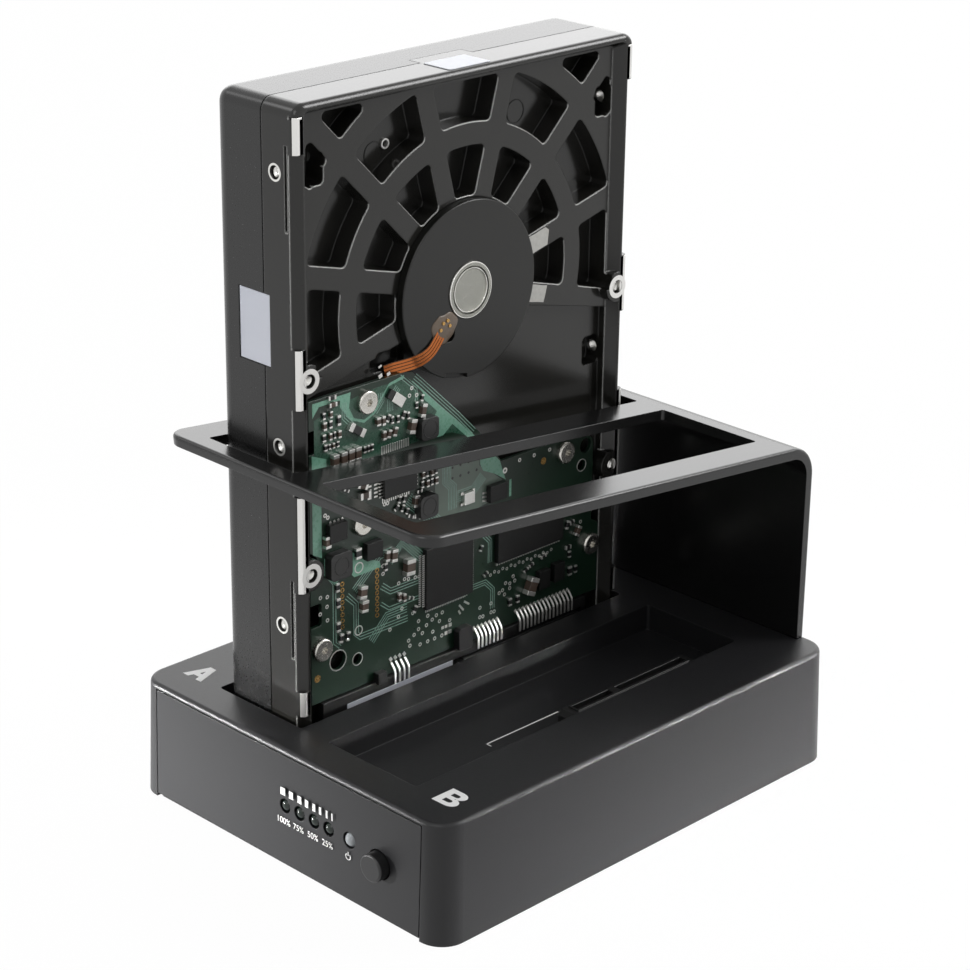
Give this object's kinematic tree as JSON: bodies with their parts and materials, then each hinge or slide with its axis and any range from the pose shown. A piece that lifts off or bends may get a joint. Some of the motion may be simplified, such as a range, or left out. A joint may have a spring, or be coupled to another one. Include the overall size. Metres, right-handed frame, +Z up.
{
  "type": "drive duplicator",
  "caption": "Desktop hard-drive duplicator: low case with connector bays for upright drives, progress lamps, a copy button and a bent rear holder, with a drive seated in one bay.",
  "frame": {"origin": "on the table under the middle of the whole object's bounding box", "axes": "+Z up, -Y towards the front with the lamps and button, +X from bay A to bay B"},
  "size_m": [0.1004, 0.131, 0.1682],
  "materials": {
    "case_abs": "fine-textured moulded ABS",
    "panel_abs": "fine-textured moulded ABS",
    "holder_abs": "semi-gloss moulded ABS",
    "rocker_abs": "semi-gloss moulded ABS",
    "button_abs": "satin moulded ABS",
    "foot_rubber": "matt",
    "gasket_rubber": "matt",
    "black_steel": "black zinc plate",
    "nickel_steel": "nickel plate",
    "turned_steel": "turned",
    "motor_steel": "black electrocoat",
    "lid_steel": "gloss black coat",
    "painted_casting": "black electrocoated aluminium casting",
    "turned_aluminium": "machined",
    "can_aluminium": "drawn can",
    "platter_mirror": "polished disc",
    "green_laminate": "solder-masked glass epoxy",
    "drive_laminate": "solder-masked glass epoxy",
    "chip_epoxy": "moulded epoxy",
    "ferrite": "sintered ferrite",
    "black_nylon": "glass-filled nylon",
    "gold_plate": "gold flash",
    "tin_plate": "tin plate",
    "copper_flex": "polyimide over copper",
    "label_paper": "plain coated paper",
    "green_lens": "moulded epoxy dome",
    "clear_lens": "moulded epoxy dome"
  },
  "bodies": {
    "case": {"board_components": "can_aluminium", "board_header": "black_nylon", "bottom_cover": "case_abs", "bridge_chip": "chip_epoxy", "case_screws": "black_steel", "dc_jack": "black_nylon", "drive_holder": "holder_abs", "front_board": "green_laminate", "front_panel": "panel_abs", "main_board": "green_laminate", "main_board_screws": "nickel_steel", "power_lamp": "clear_lens", "progress_lamp_1": "green_lens", "progress_lamp_2": "green_lens", "progress_lamp_3": "green_lens", "progress_lamp_4": "green_lens", "push_switch": "black_nylon", "receptacle_contacts": "gold_plate", "rubber_feet": "foot_rubber", "sata_receptacle_a": "black_nylon", "sata_receptacle_b": "black_nylon", "switch_frame": "black_nylon", "top_shell": "case_abs", "usb_port": "nickel_steel"},
    "copy_button": {"copy_button": "button_abs"},
    "power_rocker": {"power_rocker": "rocker_abs"},
    "drive": {"drive_casting": "painted_casting", "lid_gasket": "gasket_rubber", "drive_lid": "lid_steel", "lid_screws": "nickel_steel", "lid_label": "label_paper", "motor_base": "motor_steel", "spindle_cap": "turned_steel", "pivot_bearing": "turned_steel", "magnet_yoke_near": "nickel_steel", "magnet_yoke_far": "nickel_steel", "drive_board": "drive_laminate", "drive_board_screws": "nickel_steel", "board_inductors": "ferrite", "board_regulators": "chip_epoxy", "sata_plug": "black_nylon", "plug_pins": "tin_plate", "motor_flex": "copper_flex", "side_label": "label_paper", "end_label": "label_paper", "plug_label": "label_paper", "controller_chip": "chip_epoxy", "controller_leads": "tin_plate", "memory_chip": "chip_epoxy", "memory_leads": "tin_plate", "motor_driver_chip": "chip_epoxy", "motor_driver_leads": "tin_plate"},
    "spindle": {"spindle_hub": "turned_aluminium", "platter": "platter_mirror", "platter_clamp": "turned_steel"},
    "head_arm": {"head_arm": "turned_aluminium"}
  },
  "joints": [
    {"name": "button_press", "type": "slide", "parent": "case", "child": "copy_button", "axis": [0, 1, 0], "range_m": [0, 0.0012], "stiffness_N_per_m": 400, "springref_m": -0.0006},
    {"name": "power_rock", "type": "hinge", "parent": "case", "child": "power_rocker", "pos_m": [0.024, 0.06139, 0.0149], "axis": [0, 0, 1], "range_deg": [-16, 0]},
    {"name": "drive_lift", "type": "slide", "parent": "case", "child": "drive", "axis": [0, 0, 1], "range_m": [0, 0.16]},
    {"name": "spindle_spin", "type": "hinge", "parent": "drive", "child": "spindle", "pos_m": [-0.02035, -0.00135, 0.11835], "axis": [1, 0, 0], "continuous": true},
    {"name": "arm_swing", "type": "hinge", "parent": "drive", "child": "head_arm", "pos_m": [-0.02035, -0.02535, 0.05905], "axis": [1, 0, 0], "range_deg": [-40, 0]}
  ]
}
